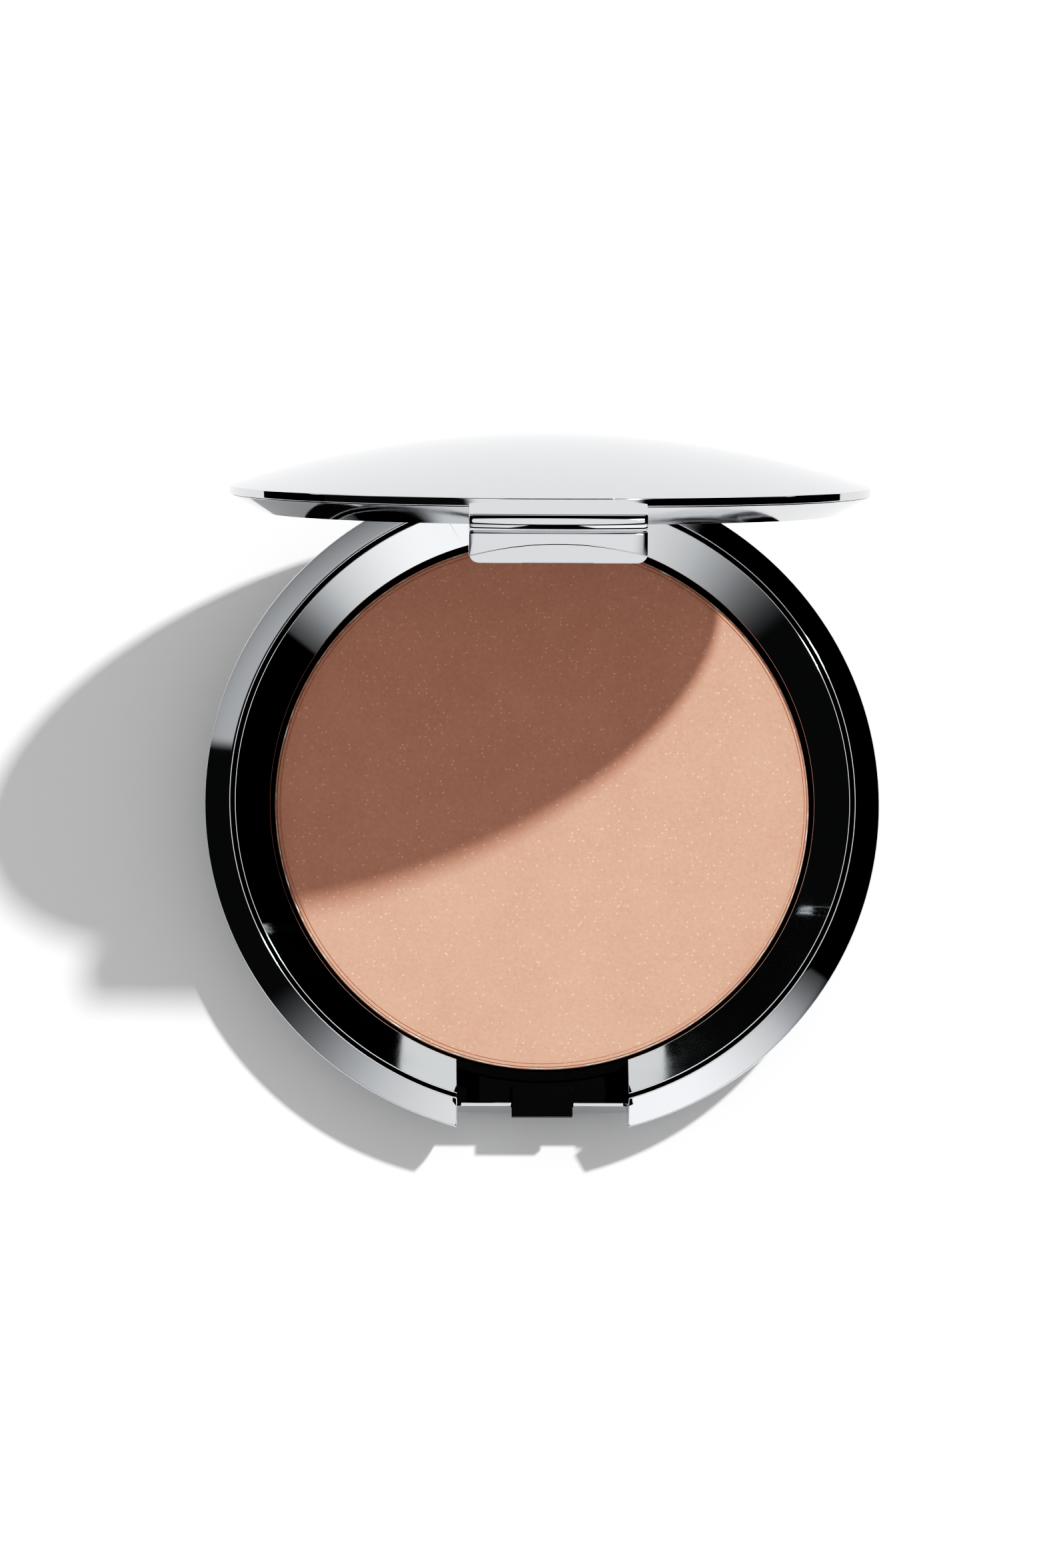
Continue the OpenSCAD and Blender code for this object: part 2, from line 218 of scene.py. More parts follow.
def block(name, x, y, z):
    """A box between two limits on each axis."""
    lay_down_tools()
    centre = [(low + high) / 2 * MM for low, high in (x, y, z)]
    size = [(high - low) * MM for low, high in (x, y, z)]
    bpy.ops.mesh.primitive_cube_add(size=1, location=centre, scale=size)
    piece = bpy.context.object
    piece.name = piece.data.name = name
    settle(piece)
    return piece


def rod(name, radius, x, steps=64):
    """A round bar along X on the hinge axis."""
    lay_down_tools()
    place = ((x[0] + x[1]) / 2 * MM, HINGE_Y * MM, HINGE_Z * MM)
    bpy.ops.mesh.primitive_cylinder_add(
        vertices=steps, radius=radius * MM, depth=(x[1] - x[0]) * MM,
        location=place, rotation=(0, math.pi / 2, 0))
    piece = bpy.context.object
    piece.name = piece.data.name = name
    settle(piece)
    return piece


def finish_modifier(piece, kind, **settings):
    """Adds one modifier and applies it."""
    lay_down_tools()
    piece.select_set(True)
    bpy.context.view_layer.objects.active = piece
    modifier = piece.modifiers.new(kind.title(), kind)
    for key, value in settings.items():
        setattr(modifier, key, value)
    bpy.ops.object.modifier_apply(modifier=modifier.name)


def joined(piece, tool, how):
    """Boolean of a piece with a tool, which is used up."""
    finish_modifier(piece, "BOOLEAN", operation=how, solver="EXACT", object=tool)
    bpy.data.objects.remove(tool)
    return piece


def cut(piece, tool):
    return joined(piece, tool, "DIFFERENCE")


def add(piece, tool):
    return joined(piece, tool, "UNION")


def keep(piece, tool):
    return joined(piece, tool, "INTERSECT")


def eased(piece, width, angle=38, segments=2):
    """Rounds the sharp edges left by the cuts."""
    lay_down_tools()
    piece.select_set(True)
    bpy.context.view_layer.objects.active = piece
    bpy.ops.object.mode_set(mode="EDIT")
    bpy.ops.mesh.select_all(action="SELECT")
    bpy.ops.mesh.remove_doubles(threshold=0.01 * MM)
    bpy.ops.mesh.dissolve_degenerate(threshold=0.005 * MM)
    bpy.ops.object.mode_set(mode="OBJECT")
    if width:
        finish_modifier(piece, "BEVEL", width=width * MM, segments=segments, limit_method="ANGLE",
                        angle_limit=math.radians(angle), use_clamp_overlap=False, miter_outer="MITER_ARC")


def smooth(piece, angle=32):
    lay_down_tools()
    piece.select_set(True)
    bpy.context.view_layer.objects.active = piece
    bpy.ops.object.shade_smooth_by_angle(angle=math.radians(angle))
    finish_modifier(piece, "WEIGHTED_NORMAL", keep_sharp=True, weight=60)


def opened(piece):
    """Turns a piece that was drawn closed up to the standing lid."""
    pivot = Vector((0, HINGE_Y, HINGE_Z)) * MM
    turn = Matrix.Rotation(-math.radians(LID_OPEN), 4, "X")
    piece.matrix_world = Matrix.Translation(pivot) @ turn @ Matrix.Translation(-pivot)
    settle(piece)
    return piece


def crowned(r0, z0, r1, z1, rise, steps=6):
    """Points between two ends of a face that is very slightly crowned."""
    line = []
    for i in range(1, steps):
        t = i / steps
        line.append((r0 + (r1 - r0) * t, z0 + (z1 - z0) * t + 4 * rise * t * (1 - t)))
    return line


def ellipse_quarter(r0, r1, z0, height, steps):
    """Leaves (r0, z0) level and meets (r1, z0 + height) upright."""
    turns = [math.pi / 2 * i / steps for i in range(steps + 1)]
    return [(r0 + (r1 - r0) * math.sin(t), z0 + height * (1 - math.cos(t))) for t in turns]


def dome_z(r, inset=0):
    return LID_TOP - DOME_R + math.sqrt((DOME_R - inset) ** 2 - r * r)


# ---------------------------------------------------------------- finishes

def linear(hex_colour):
    """sRGB hex to linear RGBA."""
    channels = [int(hex_colour[i:i + 2], 16) / 255 for i in (1, 3, 5)]
    return [c / 12.92 if c <= 0.04045 else ((c + 0.055) / 1.055) ** 2.4 for c in channels] + [1]


def add_node(tree, kind, settings=(), links=(), **sockets):
    """Adds a node, sets its properties and sockets, and links (from_socket, to_input) pairs."""
    made = tree.nodes.new(kind)
    for key, value in dict(settings).items():
        setattr(made, key, value)
    for key, value in sockets.items():
        made.inputs[key.replace("_", " ")].default_value = value
    for source, target in links:
        tree.links.new(source, made.inputs[target])
    return made


def new_finish(name):
    """An empty material with a Principled shader, and its Object coordinates."""
    finish = bpy.data.materials.new(name)
    finish.use_nodes = True
    tree = finish.node_tree
    shader = tree.nodes["Principled BSDF"]
    place = tree.nodes.new("ShaderNodeTexCoord").outputs["Object"]
    return finish, tree, shader, place


def plated_finish(name, tint, smear):
    """Chrome on polished moulded plastic: a hard, almost perfect mirror.
    The moulding leaves the mirror very slightly uneven over 12 mm, and handling leaves faint smears 6 mm across."""
    finish, tree, shader, place = new_finish(name)
    shader.inputs["Base Color"].default_value = linear(tint)
    shader.inputs["Metallic"].default_value = 1
    smears = add_node(tree, "ShaderNodeTexNoise", links=[(place, "Vector")], Scale=1 / (6 * MM), Detail=4)
    dull = add_node(tree, "ShaderNodeMapRange", links=[(smears.outputs["Fac"], "Value")],
                    From_Min=0.42, From_Max=0.75, To_Min=0.03, To_Max=0.03 + smear)
    tree.links.new(dull.outputs["Result"], shader.inputs["Roughness"])
    waves = add_node(tree, "ShaderNodeTexNoise", links=[(place, "Vector")], Scale=1 / (12 * MM), Detail=0)
    bump = add_node(tree, "ShaderNodeBump", links=[(waves.outputs["Fac"], "Height")],
                    Strength=1, Distance=0.012 * MM)
    tree.links.new(bump.outputs["Normal"], shader.inputs["Normal"])
    return finish


def powder_finish():
    """Pressed talc and mica: dead matt with a fine grain and tiny pearl flakes, whose paler colour is partly a painted
    glint.
    The grain is about 0.2 mm, and the flakes are really 0.05 mm but are drawn at 0.18 mm so that they show."""
    finish, tree, shader, place = new_finish("pressed_talc_and_mica")
    cloud = add_node(tree, "ShaderNodeTexNoise", links=[(place, "Vector")], Scale=1 / (7 * MM), Detail=3)
    grain = add_node(tree, "ShaderNodeTexNoise", links=[(place, "Vector")], Scale=1 / (0.35 * MM), Detail=3,
                     Roughness=0.7)
    blend = add_node(tree, "ShaderNodeMath", {"operation": "MULTIPLY_ADD"},
                     [(grain.outputs["Fac"], 0), (cloud.outputs["Fac"], 2)])
    blend.inputs[1].default_value = 2.2
    shades = add_node(tree, "ShaderNodeValToRGB", links=[])
    spread = add_node(tree, "ShaderNodeMapRange", links=[(blend.outputs[0], "Value")],
                      From_Min=1.15, From_Max=2.05)
    tree.links.new(spread.outputs["Result"], shades.inputs["Fac"])
    shades.color_ramp.elements[0].color = linear("#be8b76")
    shades.color_ramp.elements[1].color = linear("#c89580")
    flakes = add_node(tree, "ShaderNodeTexVoronoi", {"feature": "F1"}, [(place, "Vector")],
                      Scale=1 / (0.45 * MM))
    near = add_node(tree, "ShaderNodeMapRange", links=[(flakes.outputs["Distance"], "Value")],
                    From_Min=0.12, From_Max=0.26, To_Min=1, To_Max=0)
    pick = add_node(tree, "ShaderNodeMath", {"operation": "GREATER_THAN"}, [(flakes.outputs["Color"], 0)])
    pick.inputs[1].default_value = 0.62
    shine = add_node(tree, "ShaderNodeMath", {"operation": "MULTIPLY"},
                     [(near.outputs["Result"], 0), (pick.outputs[0], 1)])
    # Where a flake lies the colour turns paler: partly the flake's own pale pearl, partly a painted glint.
    flake_colour_and_painted_glint = add_node(tree, "ShaderNodeMix", {"data_type": "RGBA"},
                     [(shine.outputs[0], "Factor"), (shades.outputs["Color"], 6)])
    flake_colour_and_painted_glint.inputs[7].default_value = linear("#ddb29c")
    tree.links.new(flake_colour_and_painted_glint.outputs[2], shader.inputs["Base Color"])
    matt = add_node(tree, "ShaderNodeMapRange", links=[(shine.outputs[0], "Value")], To_Min=0.82, To_Max=0.4)
    tree.links.new(matt.outputs["Result"], shader.inputs["Roughness"])
    shader.inputs["IOR"].default_value = 1.5
    shader.inputs["Sheen Weight"].default_value = 0.05
    bump = add_node(tree, "ShaderNodeBump", links=[(grain.outputs["Fac"], "Height")],
                    Strength=0.5, Distance=0.03 * MM)
    tree.links.new(bump.outputs["Normal"], shader.inputs["Normal"])
    return finish


def moulded_black(name, tone, low, high, grit):
    """Black ABS from a spark-eroded mould: a fine even grit in the gloss."""
    finish, tree, shader, place = new_finish(name)
    cloud = add_node(tree, "ShaderNodeTexNoise", links=[(place, "Vector")], Scale=1 / (4 * MM), Detail=2)
    mottle = add_node(tree, "ShaderNodeValToRGB", links=[(cloud.outputs["Fac"], "Fac")])
    mottle.color_ramp.elements[0].color = linear(tone[0])
    mottle.color_ramp.elements[1].color = linear(tone[1])
    tree.links.new(mottle.outputs["Color"], shader.inputs["Base Color"])
    grain = add_node(tree, "ShaderNodeTexNoise", links=[(place, "Vector")], Scale=1 / (grit * MM), Detail=2)
    gloss = add_node(tree, "ShaderNodeMapRange", links=[(grain.outputs["Fac"], "Value")],
                     From_Min=0.3, From_Max=0.7, To_Min=low, To_Max=high)
    tree.links.new(gloss.outputs["Result"], shader.inputs["Roughness"])
    shader.inputs["IOR"].default_value = 1.53
    shader.inputs["Specular IOR Level"].default_value = 0.1
    bump = add_node(tree, "ShaderNodeBump", links=[(grain.outputs["Fac"], "Height")],
                    Strength=0.4, Distance=0.01 * MM)
    tree.links.new(bump.outputs["Normal"], shader.inputs["Normal"])
    return finish


def pan_finish():
    """Drawn tinplate, with powder rubbed over its rim: dull metal under a broken pink-brown film."""
    finish, tree, shader, place = new_finish("drawn_tinplate_with_powder")
    dust = add_node(tree, "ShaderNodeTexNoise", links=[(place, "Vector")], Scale=1 / (1.2 * MM), Detail=4)
    film = add_node(tree, "ShaderNodeMapRange", links=[(dust.outputs["Fac"], "Value")],
                    From_Min=0.3, From_Max=0.55)
    colour = add_node(tree, "ShaderNodeValToRGB", links=[(film.outputs["Result"], "Fac")])
    colour.color_ramp.elements[0].color = linear("#c2b8b0")
    colour.color_ramp.elements[1].color = linear("#b48a76")
    tree.links.new(colour.outputs["Color"], shader.inputs["Base Color"])
    bare = add_node(tree, "ShaderNodeMapRange", links=[(film.outputs["Result"], "Value")], To_Min=1, To_Max=0.1)
    tree.links.new(bare.outputs["Result"], shader.inputs["Metallic"])
    matt = add_node(tree, "ShaderNodeMapRange", links=[(film.outputs["Result"], "Value")], To_Min=0.32, To_Max=0.75)
    tree.links.new(matt.outputs["Result"], shader.inputs["Roughness"])
    return finish


def steel_finish(name, dark, light, grain_mm, along):
    """Steel with a ground grain that runs one way, so its gloss is drawn out into fine streaks."""
    finish, tree, shader, place = new_finish(name)
    stretch = add_node(tree, "ShaderNodeMapping", links=[(place, "Vector")], Scale=along)
    streaks = add_node(tree, "ShaderNodeTexNoise", links=[(stretch.outputs["Vector"], "Vector")],
                       Scale=1 / (grain_mm * MM), Detail=3)
    colour = add_node(tree, "ShaderNodeValToRGB", links=[(streaks.outputs["Fac"], "Fac")])
    colour.color_ramp.elements[0].color = linear(dark)
    colour.color_ramp.elements[1].color = linear(light)
    tree.links.new(colour.outputs["Color"], shader.inputs["Base Color"])
    shader.inputs["Metallic"].default_value = 1
    gloss = add_node(tree, "ShaderNodeMapRange", links=[(streaks.outputs["Fac"], "Value")],
                     To_Min=0.22, To_Max=0.42)
    tree.links.new(gloss.outputs["Result"], shader.inputs["Roughness"])
    return finish


def silvered_glass_finish():
    """Silvered float glass: a clean mirror with a trace of green, and a few faint wiping marks 9 mm wide."""
    finish, tree, shader, place = new_finish("silvered_float_glass")
    shader.inputs["Base Color"].default_value = linear("#eef0ef")
    shader.inputs["Metallic"].default_value = 1
    wipes = add_node(tree, "ShaderNodeTexNoise", links=[(place, "Vector")], Scale=1 / (9 * MM), Detail=3)
    haze = add_node(tree, "ShaderNodeMapRange", links=[(wipes.outputs["Fac"], "Value")],
                    From_Min=0.45, From_Max=0.8, To_Min=0.012, To_Max=0.05)
    tree.links.new(haze.outputs["Result"], shader.inputs["Roughness"])
    return finish


def soft_finish(name, dark, light, grain_mm, roughness, depth_mm, ior=1.5):
    """A dull, slightly uneven material: paper fibre, foam cells, glue or bearing plastic."""
    finish, tree, shader, place = new_finish(name)
    grain = add_node(tree, "ShaderNodeTexNoise", links=[(place, "Vector")], Scale=1 / (grain_mm * MM), Detail=4)
    colour = add_node(tree, "ShaderNodeValToRGB", links=[(grain.outputs["Fac"], "Fac")])
    colour.color_ramp.elements[0].color = linear(dark)
    colour.color_ramp.elements[1].color = linear(light)
    tree.links.new(colour.outputs["Color"], shader.inputs["Base Color"])
    shader.inputs["Roughness"].default_value = roughness
    shader.inputs["IOR"].default_value = ior
    bump = add_node(tree, "ShaderNodeBump", links=[(grain.outputs["Fac"], "Height")],
                    Strength=0.6, Distance=depth_mm * MM)
    tree.links.new(bump.outputs["Normal"], shader.inputs["Normal"])
    return finish


CHROME_CASE = plated_finish("chrome_plated_abs_case", "#c9cbce", 0.05)
CHROME_RING = plated_finish("chrome_plated_abs_ring", "#cbcdcf", 0.04)
POWDER = powder_finish()
TRAY_BLACK = moulded_black("moulded_black_abs_tray", ("#020202", "#030303"), 0.5, 0.65, 0.15)
CATCH_BLACK = moulded_black("moulded_black_acetal_catch", ("#020202", "#040404"), 0.45, 0.6, 0.2)
PAN_METAL = pan_finish()
BALLAST_STEEL = steel_finish("stamped_steel_plate", "#7d8084", "#9a9da1", 0.5, (1, 12, 1))
PIN_STEEL = steel_finish("ground_steel_pin", "#9fa3a8", "#c2c5c9", 0.2, (14, 1, 1))
SPRING_STEEL = steel_finish("rolled_spring_steel", "#54565a", "#6d7075", 0.3, (10, 1, 1))
MIRROR_GLASS = silvered_glass_finish()
GLUE = soft_finish("dried_hot_glue", "#d8d0b4", "#e6dfc8", 2.0, 0.45, 0.05)
LABEL_PAPER = soft_finish("uncoated_paper_label", "#eeece6", "#f7f6f2", 0.3, 0.85, 0.01)
FOAM = soft_finish("grey_foam_tape", "#3a3b3d", "#56575a", 0.4, 0.9, 0.06)
CARD = soft_finish("black_backing_card", "#141414", "#222222", 0.35, 0.85, 0.02)
BEARING = soft_finish("natural_acetal_bearing", "#dcd8cc", "#e9e6dc", 0.8, 0.4, 0.005, 1.48)


def hand_over(piece, finish, body, node):
    """Gives a finished piece its material and its body, and hides the CAD node that it stands for."""
    piece.data.materials.clear()
    piece.data.materials.append(finish)
    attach(piece, body)
    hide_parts(node)


# ---------------------------------------------------------------- base

def hinge_lugs():
    """Two round-nosed lugs that carry the pin."""
    lugs = None
    for side in (-1, 1):
        span = sorted((side * LUG_IN, side * LUG_OUT))
        lug = rod("lug", BARREL_R, span)
        foot = block("foot", span, (HINGE_Y - BARREL_R, HINGE_Y), (BAY_Z - 0.5, HINGE_Z))
        add(lug, foot)
        lugs = add(lugs, lug) if lugs else lug
    return lugs


def case_section():
    """Section of the bowl: the foot with its label recess, the rounded side, the rim, the bevel and the ridge."""
    recess_r = label_high.x + 0.3
    outside = [(0, label_high.z), (recess_r, label_high.z), (recess_r, 0, 0.04), (FOOT_R - 1, 0)]
    outside += ellipse_quarter(FOOT_R, RIM_R, 0, RIM_Z - 0.5, 32)
    rim, ridge = (RIM_R, RIM_Z - 0.04), (WELL_R, RIDGE_Z + 0.05)
    outside += [rim + (0.25,)] + crowned(*rim, *ridge, 0.03) + [ridge + (0.11,)]
    return outside


def model_base_shell():
    inside = ellipse_quarter(FOOT_R - 0.3, WELL_R, SHELL_T, RIM_Z - 0.5 - 4.45, 12)
    section = case_section() + [(WELL_R, RIDGE_Z - 1.2)] + inside[::-1] + [(0, SHELL_T)]
    shell = turned("base_shell_plated", section)
    # The notch first loses its ridge and bevel, then gets its wall, then is cut flush.
    cut(shell, block("cutter", (-NOTCH_HALF, NOTCH_HALF), (-60, -DECK_R), (RECESS_Z, 60)))
    wall_line = rounded([(-NOTCH_HALF, 0.7), (NOTCH_HALF, 0.7), (NOTCH_HALF, WALL_Z - 0.45),
                         (NOTCH_HALF - 0.45, WALL_Z), (-NOTCH_HALF + 0.45, WALL_Z), (-NOTCH_HALF, WALL_Z - 0.45)])
    wall = prism("wall", wall_line, "Y", -WALL_Y - 1, -WALL_Y + WALL_T)
    solid_case = case_section() + [(0, RIDGE_Z - 0.2)]
    keep(wall, turned("body", solid_case))
    shelf_half = BAY_HALF + 1
    shelf = block("shelf", (-shelf_half, shelf_half), (BAY_Y - SHELF_T, 60), (BAY_Z - SHELL_T, BAY_Z))
    add(shelf, block("shelf_back", (-shelf_half, shelf_half), (BAY_Y - SHELF_T, BAY_Y), (0.7, DECK_Z - 0.45)))
    keep(shelf, turned("body", solid_case))
    add(shell, wall)
    add(shell, shelf)
    cut(shell, block("cutter", (-NOTCH_HALF, NOTCH_HALF), (-60, -WALL_Y), (-5, 60)))
    slot_half = 3.4
    cut(shell, block("cutter", (-slot_half, slot_half), (-60, -WALL_Y + 5), (WALL_Z - 1.45, 60)))
    cut(shell, block("cutter", (-BAY_HALF, BAY_HALF), (BAY_Y, 60), (BAY_Z, 60)))
    add(shell, hinge_lugs())
    cut(shell, rod("bore", 0.7, (-LUG_OUT - 1, LUG_OUT + 1)))
    eased(shell, 0.1)
    smooth(shell)
    return shell


def model_deck_ring():
    """The slope round the pan, with a cheek at each side of the notch."""
    ring = turned("deck_ring_plated", [
        (DECK_R, tray_high.z), (DECK_R + 0.9, tray_high.z), (DECK_R + 0.9, DECK_Z - 0.35),
        (DECK_OUT_R, DECK_OUT_Z - 0.9), (DECK_OUT_R, DECK_OUT_Z, 0.1), (DECK_R, DECK_Z, 0.14)], ring=True)
    cheeks = turned("cheeks", [
        (DECK_R + 1.3, RECESS_Z + 0.1), (DECK_OUT_R - 0.1, RECESS_Z + 0.1),
        (DECK_OUT_R - 0.1, RIDGE_Z - 1.2), (DECK_R + 1.3, DECK_Z + 0.3)], ring=True)
    plates = block("plate", (-NOTCH_HALF - 0.8, NOTCH_HALF + 0.8), (-60, -5), (0, 60))
    keep(cheeks, plates)
    add(ring, cheeks)
    cut(ring, block("cutter", (-NOTCH_HALF, NOTCH_HALF), (-60, -5), (-5, 60)))
    cut(ring, block("cutter", (-BAY_HALF, BAY_HALF), (BAY_Y, 60), (-5, 60)))
    eased(ring, 0.08)
    smooth(ring)
    return ring


def model_powder():
    """The pressed cake, with a fine groove just inside its softened edge."""
    edge_r = cake_high.x
    groove_out = pan_high.x - 0.5
    groove_in = groove_out - 0.16
    cake = turned("powder_pressed", [
        (0, cake_low.z), (edge_r, cake_low.z), (edge_r, POWDER_Z, 0.06),
        (groove_out, POWDER_Z, 0.03), (groove_out - 0.03, POWDER_Z - 0.1, 0.02),
        (groove_in + 0.03, POWDER_Z - 0.1, 0.02), (groove_in, POWDER_Z, 0.03),
        (26, POWDER_Z), (18, POWDER_Z), (9, POWDER_Z), (0, POWDER_Z)])
    smooth(cake)
    return cake


def model_pan():
    """A drawn pan: round corner at the floor and a rolled rim."""
    outer, wall = pan_high.x, 0.25
    pan = turned("powder_pan_drawn", [
        (0, pan_low.z), (outer, pan_low.z, 0.5), (outer, pan_high.z, 0.11),
        (outer - wall, pan_high.z, 0.11), (outer - wall, pan_low.z + wall), (0, pan_low.z + wall)])
    smooth(pan)
    return pan


def model_catch():
    """The bar in the recess and its tongue, which has a round-cornered nose."""
    half = NOTCH_HALF - 2.5
    back_r = 31.05
    bar = block("catch_moulded", (-half, half), (-WALL_Y + WALL_T + 0.05, -back_r + 1.6), (catch_low.z, WALL_Z - 0.6))
    cut(bar, turned("round_back", [(0, 0), (back_r, 0), (back_r, 20), (0, 20)]))
    nose = -catch_low.y
    tongue_half = 3.35
    lay_down_tools()
    bpy.ops.mesh.primitive_plane_add(size=MM)
    tongue = bpy.context.object
    tongue.name = "tongue"
    bpy.ops.object.mode_set(mode="EDIT")
    bpy.ops.mesh.select_all(action="SELECT")
    bpy.ops.transform.resize(value=(2 * tongue_half, nose - 31.5, 1))
    bpy.ops.transform.translate(value=(0, -(nose + 31.5) / 2 * MM, (WALL_Z - 1.4) * MM))
    bpy.ops.mesh.extrude_region_move(TRANSFORM_OT_translate={"value": (0, 0, 1.3 * MM)})
    closed_up()
    upright = [e for e in tongue.data.edges
               if all(tongue.data.vertices[v].co.y < -(nose - 0.1) * MM for v in e.vertices)
               and abs(tongue.data.vertices[e.vertices[0]].co.z - tongue.data.vertices[e.vertices[1]].co.z) > MM]
    bpy.ops.object.mode_set(mode="EDIT")
    bpy.ops.mesh.select_all(action="DESELECT")
    bpy.ops.object.mode_set(mode="OBJECT")
    for e in upright:
        e.select = True
    bpy.context.tool_settings.mesh_select_mode = (False, True, False)
    bpy.ops.object.mode_set(mode="EDIT")
    bpy.ops.mesh.bevel(offset=0.6 * MM, segments=8, affect="EDGES")
    closed_up()
    bpy.context.tool_settings.mesh_select_mode = (True, False, False)
    eased(tongue, 0.09)
    add(bar, tongue)
    smooth(bar)
    return bar


def model_disc(name, radius, low, high, corner):
    """A flat disc with rounded edges."""
    disc = turned(name, [(0, low), (radius, low, corner), (radius, high, corner), (0, high)], steps=128)
    smooth(disc)
    return disc


def model_tray():
    """The black tray: floor, wall round the pan, ledge and the floor of the recess."""
    wall_in, wall_out = 29.75, 30.95
    well_foot = FOOT_R - 0.3
    top = glue_low.z
    low = tray_low.z
    tray = turned("pan_tray_moulded", [
        (0, 2.4), (ballast_high.x + 0.1, 2.4), (ballast_high.x + 0.1, low), (well_foot - 0.3, low),
        (well_foot - 0.3, top - 0.7), (wall_out, top - 0.7), (wall_out, tray_high.z, 0.15),
        (wall_in, tray_high.z, 0.15), (wall_in, top, 0.3), (0, top)])
    floor = block("recess_floor", (-NOTCH_HALF + 0.1, NOTCH_HALF - 0.1),
                  (-WALL_Y + WALL_T + 0.05, -DECK_R), (RECESS_Z - 1, RECESS_Z))
    add(tray, floor)
    smooth(tray)
    return tray


def on_hinge(name, section, ring=False):
    """A small turned part laid along the hinge axis. Its section is (radius, place along the pin)."""
    part = turned(name, section, ring=ring, steps=64)
    part.matrix_world = (Matrix.Translation(Vector((0, HINGE_Y, HINGE_Z)) * MM)
                         @ Matrix.Rotation(math.pi / 2, 4, "Y"))
    settle(part)
    smooth(part)
    return part


hand_over(model_base_shell(), CHROME_CASE, "base", "base_shell")
hand_over(model_deck_ring(), CHROME_RING, "base", "deck_ring")
hand_over(model_powder(), POWDER, "base", "powder_cake")
hand_over(model_pan(), PAN_METAL, "base", "powder_pan")
hand_over(model_catch(), CATCH_BLACK, "base", "catch_block")
hand_over(model_tray(), TRAY_BLACK, "base", "pan_tray")
hand_over(model_disc("pan_glue_dab", glue_high.x, glue_low.z, glue_high.z, 0.03),
          GLUE, "base", "pan_glue")
hand_over(model_disc("ballast_disc", ballast_high.x, ballast_low.z, ballast_high.z, 0.1),
          BALLAST_STEEL, "base", "ballast_plate")
hand_over(model_disc("base_label_paper", label_high.x, 0, label_high.z, 0.03),
          LABEL_PAPER, "base", "base_label")
PIN_END = pin_high.x
hand_over(on_hinge("hinge_pin_ground", [(0, -PIN_END), (0.7, -PIN_END, 0.15), (0.7, PIN_END, 0.15), (0, PIN_END)]),
          PIN_STEEL, "base", "hinge_pin")
for side, node in ((-1, "hinge_washer_left"), (1, "hinge_washer_right")):
    ends = sorted((side * washer_low.x, side * washer_high.x))
    washer = on_hinge(node + "_moulded", [(0.7, ends[0]), (1.4, ends[0], 0.06), (1.4, ends[1], 0.06), (0.7, ends[1])],
                      ring=True)
    hand_over(washer, BEARING, "base", node)


# ---------------------------------------------------------------- lid, modelled closed and then opened

def dome_body():
    """The domed skin with its upright edge."""
    top = [(LID_R * i / 48, dome_z(LID_R * i / 48)) for i in range(48)]
    under = [((LID_R - SKIN_T) * i / 16, dome_z((LID_R - SKIN_T) * i / 16, SKIN_T)) for i in range(17)]
    return turned("lid_shell_plated", top + [(LID_R, EDGE_Z1, 0.14), (LID_R, EDGE_Z0, 0.1), (LID_R - SKIN_T, EDGE_Z0)]
                  + under[::-1])


def clasp_tab():
    """The tab: its top runs on from the dome, rolls over in a bead and drops to a flat lip with a bevelled tip."""
    bead_r, bead_z, bead = TAB_R - 0.55, EDGE_Z1 - 2.4, 1.1
    back_r = 33.1
    start_r = 33.6
    arc = [(bead_r + bead * math.cos(math.radians(a)), bead_z + bead * math.sin(math.radians(a)))
           for a in range(60, -71, -5)]
    section = [(back_r, dome_z(start_r) - 0.4), (start_r, dome_z(start_r) - 0.02), (LID_R - 0.1, EDGE_Z1 - 0.02, 1.0)]
    section += arc + [(TAB_R, bead_z - 1.2, 0.1), (TAB_R, TAB_TIP_Z), (back_r, TAB_TIP_Z)]
    tab = turned("clasp_tab", section, ring=True, steps=288)
    corner = 1.1
    front = prism("front_outline", rounded([
        (-TAB_HALF, EDGE_Z1 + 3), (-TAB_HALF, TAB_TIP_Z, corner), (TAB_HALF, TAB_TIP_Z, corner),
        (TAB_HALF, EDGE_Z1 + 3)], 8), "Y", -45, -WALL_Y - 0.3)
    keep(tab, front)
    side = prism("side_outline", [
        (-WALL_Y, EDGE_Z1 + 3), (-WALL_Y, TAB_TIP_Z), (-TAB_R + 1.87, TAB_TIP_Z), (-TAB_R, TAB_TIP_Z + 2.05),
        (-TAB_R - 4, TAB_TIP_Z + 2.05 + 4 * 2.05 / 1.87), (-TAB_R - 4, EDGE_Z1 + 3)], "X", -TAB_HALF - 1, TAB_HALF + 1)
    return keep(tab, side)


def model_lid_shell():
    lid = dome_body()
    add(lid, clasp_tab())
    half = 3.7
    cut(lid, block("pocket", (-half, half), (-POCKET_Y, -WALL_Y + 1), (TAB_TIP_Z - 1, WALL_Z + 0.5)))
    sleeve = sleeve_high.x
    knuckle = rod("knuckle", BARREL_R, (-sleeve, sleeve))
    arm = block("arm", (-sleeve, sleeve), (HINGE_Y - 1.2, LID_R + 1), (HINGE_Z, EDGE_Z0 + 0.3))
    keep(arm, turned("round", [(0, 0), (LID_R, 0), (LID_R, 30), (0, 30)]))
    add(knuckle, arm)
    add(lid, knuckle)
    cut(lid, rod("bore", 1.1, (-sleeve - 1, sleeve + 1)))
    eased(lid, 0.08)
    smooth(lid)
    return opened(lid)


